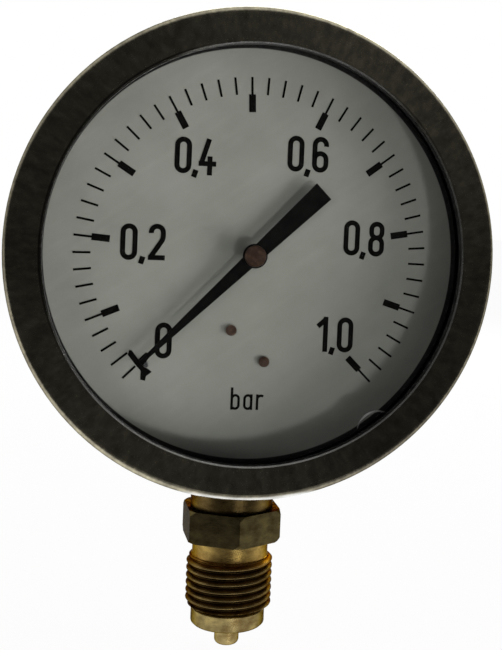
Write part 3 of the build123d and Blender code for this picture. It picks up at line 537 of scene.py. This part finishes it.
def ribbon(points, width, closed=False):
    """A flat band of ink: a four-sided section carried along a path, its edges half the width to
    either side on the mitre line of each corner. Path and width are millimetres on the scale."""
    p = np.asarray(points, float)
    step = np.diff(np.vstack([p, p[:1]]) if closed else p, axis=0)
    step /= np.linalg.norm(step, axis=1, keepdims=True)
    before = np.roll(step, 1, 0) if closed else np.vstack([step[:1], step])
    after = step if closed else np.vstack([step, step[-1:]])
    along = before + after
    along /= np.linalg.norm(along, axis=1, keepdims=True)
    across = np.c_[-along[:, 1], along[:, 0]]
    reach = (across * np.c_[-after[:, 1], after[:, 0]]).sum(1)
    offset = across * (width / 2 / np.maximum(reach, 0.35))[:, None]
    edges = np.stack([p + offset, p - offset, p - offset, p + offset], 1)
    depth = np.broadcast_to(np.array([1.0, 1.0, 0.0, 0.0]), edges.shape[:2])
    count = len(p)
    i, k = np.meshgrid(np.arange(count if closed else count - 1), np.arange(4), indexing="ij")
    n, m = (i + 1) % count, (k + 1) % 4
    faces = np.stack([i * 4 + k, n * 4 + k, n * 4 + m, i * 4 + m], -1).reshape(-1, 4)
    if not closed:
        faces = np.vstack([faces, [[0, 1, 2, 3]], [np.arange(4 * count - 1, 4 * count - 5, -1)]])
    return np.dstack([edges, depth]).reshape(-1, 3), faces


def arc(centre, radius, start, end, steps=14):
    """Points on a circle between two angles in degrees."""
    a = np.radians(np.linspace(start, end, steps))
    return np.c_[centre[0] + radius * np.cos(a), centre[1] + radius * np.sin(a)]


def stadium(half_width, half_height, centre=(0.0, 0.0)):
    """Closed path of two half circles and two straight sides."""
    x, y = centre
    top, low = (x, y + half_height - half_width), (x, y - half_height + half_width)
    return np.vstack([arc(top, half_width, 0, 180), arc(low, half_width, 180, 360)])


half, tall, stroke = 1.3, 3.42, 1.1
numerals = {
    "0": [(stadium(half, tall), stroke, True)],
    "1": [([(0.55, -tall - stroke / 2), (0.55, tall + stroke / 2)], stroke, False),
          ([(0.50, tall - 0.05), (-1.25, 1.75)], stroke, False)],
    "2": [(np.vstack([arc((0, tall - half), half, 190, 0), [(half, 1.15)],
                      arc((-0.05, 1.0), half, -12, -36, 5), [(-half + 0.1, -tall + 0.25)]]),
           stroke, False),
          ([(-half - stroke / 2, -tall), (half + 0.5, -tall)], stroke, False)],
    "4": [([(0.25, tall + stroke / 2), (-1.35, -1.35)], stroke, False),
          ([(-1.95, -1.45), (1.9, -1.45)], stroke, False),
          ([(0.5, 0.2), (0.5, -tall - stroke / 2)], stroke, False)],
    "6": [(np.vstack([arc((0, tall - half), half, -12, 180), arc((0, -tall + half), half, 180, 360),
                      arc((0, -1.05), half, 0, 168)]), stroke, False)],
    "8": [(stadium(1.22, 1.55, (0.05, 1.8)), stroke, True),
          (stadium(half, 1.85, (0.0, -1.6)), stroke, True)],
    ",": [([(0.28, 0.8), (-0.22, -0.8)], 1.15, False)],
}
places = [
    ("0", -19.2, -19.35),
    ("0", -27.4, 2.05), (",", -24.55, -1.85), ("2", -21.35, 2.2),
    ("0", -16.35, 21.4), (",", -13.75, 17.5), ("4", -11.0, 21.2),
    ("0", 8.55, 23.0), (",", 11.2, 18.85), ("6", 14.1, 23.05),
    ("0", 22.1, 4.8), (",", 24.7, 0.9), ("8", 27.8, 4.8),
    ("1", 16.45, -17.15), (",", 18.55, -20.9), ("0", 21.55, -17.2),
]
thin, unit_low = 0.56, -34.5
unit = [
    ([(-3.6, unit_low), (-3.6, unit_low + 5.0)], thin, False),
    (stadium(0.76, 1.5, (-2.84, unit_low + 1.75)), thin, True),
    (stadium(0.76, 1.5, (0.0, unit_low + 1.75)), thin, True),
    ([(0.76, unit_low), (0.76, unit_low + 3.5)], thin, False),
    ([(2.1, unit_low), (2.1, unit_low + 3.5)], thin, False),
    (arc((2.95, unit_low + 2.35), 0.86, 165, 55, 8), thin, False),
]


def on_scale(radius, angle):
    """A point of the scale from its radius in millimetres and its direction in degrees."""
    return radius * np.array([math.cos(math.radians(angle)), math.sin(math.radians(angle))])


bands = []
for step in range(steps + 1):
    angle = zero_direction - step * sweep / steps
    bands.append(([on_scale(tick_outer, angle), on_scale(tick_inner, angle)], tick_width, False))
    if step % 5 == 4:
        bands.append(([on_scale(tick_inner, angle), on_scale(block_inner, angle)],
                      block_width, False))
bands.append(([on_scale(tick_inner, 219.5), on_scale(34.9, 219.5)], tick_width, False))
# zero's block, and the bar with its short arm that joins zero to the mark past it
patches = [
    [(-22.87, -21.96), (-21.83, -22.76), (-22.72, -23.96), (-23.22, -25.31), (-24.44, -23.6),
     (-23.99, -23.04)],
    [(-26.51, -21.52), (-25.97, -21.67), (-24.47, -23.6), (-23.3, -25.23), (-22.35, -25.61),
     (-21.48, -26.3), (-22.15, -26.87), (-22.68, -27.27), (-22.88, -28.3), (-23.94, -28.08),
     (-23.89, -26.11), (-24.77, -25.18), (-26.81, -22.62)],
]
for character, x, y in places:
    for path, width, closed in numerals[character]:
        bands.append((np.asarray(path, float) + (x, y), width, closed))
bands += unit

points, faces, start = [], [], 0
for number, (path, width, closed) in enumerate(bands):
    band_points, band_faces = ribbon(path, width, closed)
    # strokes that cross differ a little in depth, so that no two faces lie in one plane
    band_points[:, 2] *= 1.0 + 0.04 * (number % 5)
    points.append(band_points)
    faces.append(band_faces + start)
    start += len(band_points)
faces = np.vstack(faces).tolist()
patch_depth = 1.09
for outline in patches:
    # a patch of ink: its outline in front, the same outline on the enamel, and a side all round
    outline = np.asarray(outline)
    turn = np.roll(outline, -1, 0)
    if (outline[:, 0] * turn[:, 1] - turn[:, 0] * outline[:, 1]).sum() < 0:
        outline = outline[::-1]
    count = len(outline)
    points += [np.c_[outline, np.full(count, patch_depth)], np.c_[outline, np.zeros(count)]]
    near, far = np.arange(count) + start, np.arange(count) + start + count
    faces += [near.tolist(), far[::-1].tolist()]
    faces += np.stack([near, far, np.roll(far, -1), np.roll(near, -1)], -1).tolist()
    start += 2 * count
points = np.vstack(points)
points = np.c_[points[:, 0] / 1000, dial_front - points[:, 2] * ink_depth,
               points[:, 1] / 1000 + centre_z]
print_mesh = bpy.data.meshes.new("dial_print")
print_mesh.from_pydata(points.tolist(), [], faces)
print_mesh.shade_flat()
dial_print = link_object("dial_print", print_mesh)
ink, tree, shader = shader_material("dial_ink")
place = millimetres(tree)
tree.links.new(tones(tree, noise(tree, place, 0.6, 4.0), [
    (0.30, (0.001, 0.001, 0.0008)), (0.70, (0.003, 0.003, 0.0025))]), shader.inputs["Base Color"])
tree.links.new(spread(tree, noise(tree, place, 5.0, 2.0), 0.5, 0.65), shader.inputs["Roughness"])
shader.inputs["Specular IOR Level"].default_value = 0.03
print_mesh.materials.append(ink)
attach(dial_print, "housing")

# ---- dial screws and the pointer's cap: turned, dark copper colour ----
# Two screws with plain round heads hold the dial to its posts. The cap is a shallow dome on the
# front of the pointer's bush.
cap_copper = turned_metal("cap_copper", [
    (0.30, (0.065, 0.040, 0.029)), (0.55, (0.10, 0.062, 0.046)), (0.75, (0.15, 0.095, 0.07))],
    0.8, (0.3, 0.5), lathe=(1.0, 1.0, 1.0))
dress(cap_copper, "dial_screws", "pointer_cap")

# ---- pointer and its bush: aluminium blade and brass bush, painted satin black ----
# The blade tapers straight from its wide tail to its narrow tip. The bush goes through it and is
# pressed on the arbor.
pointer_black, tree, shader = shader_material("pointer_black")
place = millimetres(tree)
tree.links.new(tones(tree, noise(tree, place, 0.4, 4.0), [
    (0.30, (0.001, 0.001, 0.001)), (0.70, (0.004, 0.004, 0.0035))]), shader.inputs["Base Color"])
grain = noise(tree, place, 5.0, 3.0)
tree.links.new(spread(tree, grain, 0.45, 0.6), shader.inputs["Roughness"])
relief(tree, shader, grain, 5e-6)
shader.inputs["Specular IOR Level"].default_value = 0.03
dress(pointer_black, "pointer", "pointer_bush")

# ---- window: flat float glass behind the ring's lip ----
# It lies on the case's flange, with the gasket in front of it, and the ring holds both. Lamplight
# goes straight through it.
window_glass, tree, shader = shader_material("window_glass", 0.0, 0.0)
shader.inputs["Transmission Weight"].default_value = 1.0
shader.inputs["IOR"].default_value = 1.5
shader.inputs["Specular IOR Level"].default_value = 0.12
shader.inputs["Specular Tint"].default_value = (0.4, 0.4, 0.4, 1.0)
place = millimetres(tree)
tree.links.new(tones(tree, noise(tree, place, 0.02, 2.0), [
    (0.30, (0.97, 0.98, 0.97)), (0.70, (1.0, 1.0, 1.0))]), shader.inputs["Base Color"])
tree.links.new(spread(tree, noise(tree, place, 0.3, 5.0), 0.0, 0.02), shader.inputs["Roughness"])
clear = tree.nodes.new("ShaderNodeBsdfTransparent")
mix = tree.nodes.new("ShaderNodeMixShader")
path = tree.nodes.new("ShaderNodeLightPath")
tree.links.new(math_node(tree, "MAXIMUM", path.outputs["Is Shadow Ray"],
                         path.outputs["Is Diffuse Ray"]), mix.inputs["Fac"])
tree.links.new(shader.outputs[0], mix.inputs[1])
tree.links.new(clear.outputs[0], mix.inputs[2])
tree.links.new(mix.outputs[0], tree.nodes["Material Output"].inputs["Surface"])
dress(window_glass, "window")

# ---- chip in the glass: a thin frosted crescent beside the lip, low on the right ----
# It is a shallow shell of broken glass, a few millimetres long.


def crescent(centre, radius, thickness, start, end, steps=40):
    """A closed sickle: an arc of the radius with a second arc inside it, which leaves it by the
    thickness halfway and meets it at both ends; front and back are a tenth of a millimetre apart."""
    t = np.linspace(0, 1, steps)
    a = np.radians(start + (end - start) * t)
    inside = radius - thickness * np.sin(np.pi * t) - 0.004
    ring = np.stack([np.full(steps, radius), np.full(steps, radius), inside, inside], 1)
    depth = np.broadcast_to([0.1, 0.0, 0.0, 0.1], ring.shape)
    points = np.stack([centre[0] + ring * np.cos(a)[:, None], depth,
                       centre[1] + ring * np.sin(a)[:, None]], -1)
    faces = grid_faces(steps, 4)
    last = 4 * (steps - 1)
    ends = [[3, 2, 1, 0], [last, last + 1, last + 2, last + 3]]
    return points.reshape(-1, 3), np.concatenate([faces, ends])[:, ::-1]


window_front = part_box("window")[0].y
points, faces = crescent(centre=(28.4, -37.7), radius=4.4, thickness=0.5, start=62, end=178)
points = np.c_[points[:, 0] / 1000, window_front - points[:, 1] / 1000,
               points[:, 2] / 1000 + centre_z]
chip_mesh = bpy.data.meshes.new("glass_chip")
chip_mesh.from_pydata(points.tolist(), [], faces.tolist())
chip_mesh.shade_flat()
chip = link_object("glass_chip", chip_mesh)
frosted, tree, shader = shader_material("frosted_glass")
place = millimetres(tree)
tree.links.new(tones(tree, noise(tree, place, 0.8, 4.0), [
    (0.30, (0.16, 0.165, 0.155)), (0.70, (0.30, 0.305, 0.29))]), shader.inputs["Base Color"])
splinters = noise(tree, place, 6.0, 4.0)
tree.links.new(spread(tree, splinters, 0.25, 0.5), shader.inputs["Roughness"])
relief(tree, shader, splinters, 2e-5)
chip_mesh.materials.append(frosted)
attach(chip, "housing")

# ---- ring: pressed from steel strip, turned and polished ----
# It is snapped over the case's flange and rolled in behind it. The face is painted lighter in two
# opposite sectors, a painted reflection like the sheen of turned metal; the lip and the lowest outer
# edge carry painted highlights, the rest of the lip painted shade.
ring_steel, tree, shader = shader_material("ring_steel", 1.0)
place = millimetres(tree, centre=(0.0, 0.0, centre_z))
x, y, z = axes(tree, place)
radius = distance(tree, x, z)
# painted reflection streaks lie along the radius: noise about the direction from the middle
spoke = tree.nodes.new("ShaderNodeCombineXYZ")
tree.links.new(math_node(tree, "DIVIDE", x, radius), spoke.inputs["X"])
tree.links.new(math_node(tree, "DIVIDE", z, radius), spoke.inputs["Y"])
tree.links.new(math_node(tree, "MULTIPLY", radius, 0.012), spoke.inputs["Z"])
fine = noise(tree, spoke.outputs[0], 26.0, 4.0, 0.65)
wander = spread(tree, noise(tree, spoke.outputs[0], 3.0, 3.0), -0.012, 0.012)
# one turn from 0 to 1, counted from the left by way of the bottom, the right and the top
turn = math_node(tree, "ADD", math_node(
    tree, "DIVIDE", math_node(tree, "ARCTAN2", z, x), 2 * math.pi), 0.5)
# painted reflection: the face's colour is lighter in two opposite sectors, like the sheen of turned
# metal
sheen_sectors = tones(tree, math_node(tree, "ADD", turn, wander), [
    (0.00, (0.22, 0.20, 0.15)), (0.18, (0.50, 0.46, 0.34)), (0.35, (0.20, 0.18, 0.14)),
    (0.50, (0.25, 0.23, 0.17)), (0.68, (0.50, 0.46, 0.34)), (0.85, (0.25, 0.23, 0.17)),
    (1.00, (0.22, 0.20, 0.15))])
# painted reflection: light and dark streaks along the radius, laid over the face
painted_streaks = tones(tree, fine, [
    (0.30, (0.66, 0.66, 0.66)), (0.50, (1.0, 1.0, 1.0)), (0.72, (1.5, 1.5, 1.45))])
painted_sheen = blended(tree, 1.0, sheen_sectors, painted_streaks, "MULTIPLY")
# the lip: painted highlight on its chamfer in the sectors where lamps glint, and painted shade along
# the rest
lip_front, wall_radius, chamfer_radius, lip_radius = -30.22, 45.7, 45.72, 46.1
front = math_node(tree, "LESS_THAN", y, lip_front)
chamfer = math_node(tree, "MULTIPLY", math_node(tree, "LESS_THAN", radius, chamfer_radius), front)
whole_lip = math_node(tree, "MULTIPLY", math_node(tree, "LESS_THAN", radius, lip_radius), front)
glint_turn = tones(tree, turn, [
    (0.03, (0.0, 0.0, 0.0)), (0.10, (0.8, 0.8, 0.8)), (0.55, (0.7, 0.7, 0.7)),
    (0.62, (0.2, 0.2, 0.2)), (0.67, (1.0, 1.0, 1.0)), (0.78, (1.0, 1.0, 1.0)),
    (0.82, (0.0, 0.0, 0.0))])
# painted shade along the lip outside the glinting sectors
shaded_lip = math_node(tree, "MULTIPLY", whole_lip, math_node(tree, "SUBTRACT", 0.8, glint_turn))
lip_shade = tones(tree, fine, [(0.3, (0.02, 0.02, 0.02)), (0.7, (0.05, 0.05, 0.045))])
# painted highlights: a lamp's glint on the chamfer, and a painted reflection along the lowest
# stretch of the outer edge
edge_reflection = math_node(tree, "MULTIPLY", spread(tree, radius, 0.0, 1.0, 52.3, 52.9),
                     spread(tree, z, 1.0, 0.0, -51.8, -50.8))
painted_highlight = math_node(tree, "MAXIMUM", math_node(tree, "MULTIPLY", chamfer, glint_turn), edge_reflection)
highlight_tone = tones(tree, noise(tree, place, 0.25, 3.0), [
    (0.35, (0.72, 0.72, 0.69)), (0.60, (0.96, 0.96, 0.93))])
# painted highlight: the same mask also whitens the specular tint
tree.links.new(tones(tree, painted_highlight, [(0.0, (0.3, 0.3, 0.28)), (1.0, (1.0, 1.0, 1.0))]),
               shader.inputs["Specular Tint"])
# the lip's inner wall: painted shade, near black and not metallic
wall = math_node(tree, "MULTIPLY", math_node(tree, "LESS_THAN", radius, wall_radius),
                 math_node(tree, "SUBTRACT", 1.0, front))
wall_shade = tones(tree, fine, [(0.3, (0.01, 0.01, 0.01)), (0.7, (0.03, 0.03, 0.028))])
with_lip = blended(tree, shaded_lip, painted_sheen, lip_shade)
with_edges = blended(tree, painted_highlight, with_lip, highlight_tone)
tree.links.new(blended(tree, wall, with_edges, wall_shade), shader.inputs["Base Color"])
tree.links.new(math_node(tree, "SUBTRACT", 1.0, wall), shader.inputs["Metallic"])
lines = tree.nodes.new("ShaderNodeCombineXYZ")
tree.links.new(math_node(tree, "MULTIPLY", radius, 9.0), lines.inputs["X"])
tree.links.new(math_node(tree, "MULTIPLY", y, 9.0), lines.inputs["Y"])
turning = noise(tree, lines.outputs[0], 1.0, 3.0)
grain = noise(tree, place, 4.0, 3.0)
polish = spread(tree, math_node(tree, "ADD", math_node(tree, "MULTIPLY", turning, 0.5),
                                math_node(tree, "MULTIPLY", grain, 0.5)), 0.14, 0.30)
tree.links.new(math_node(tree, "ADD", polish, math_node(tree, "MULTIPLY", wall, 0.6)),
               shader.inputs["Roughness"])
relief(tree, shader, turning, 2e-6)
dress(ring_steel, "bezel_ring")
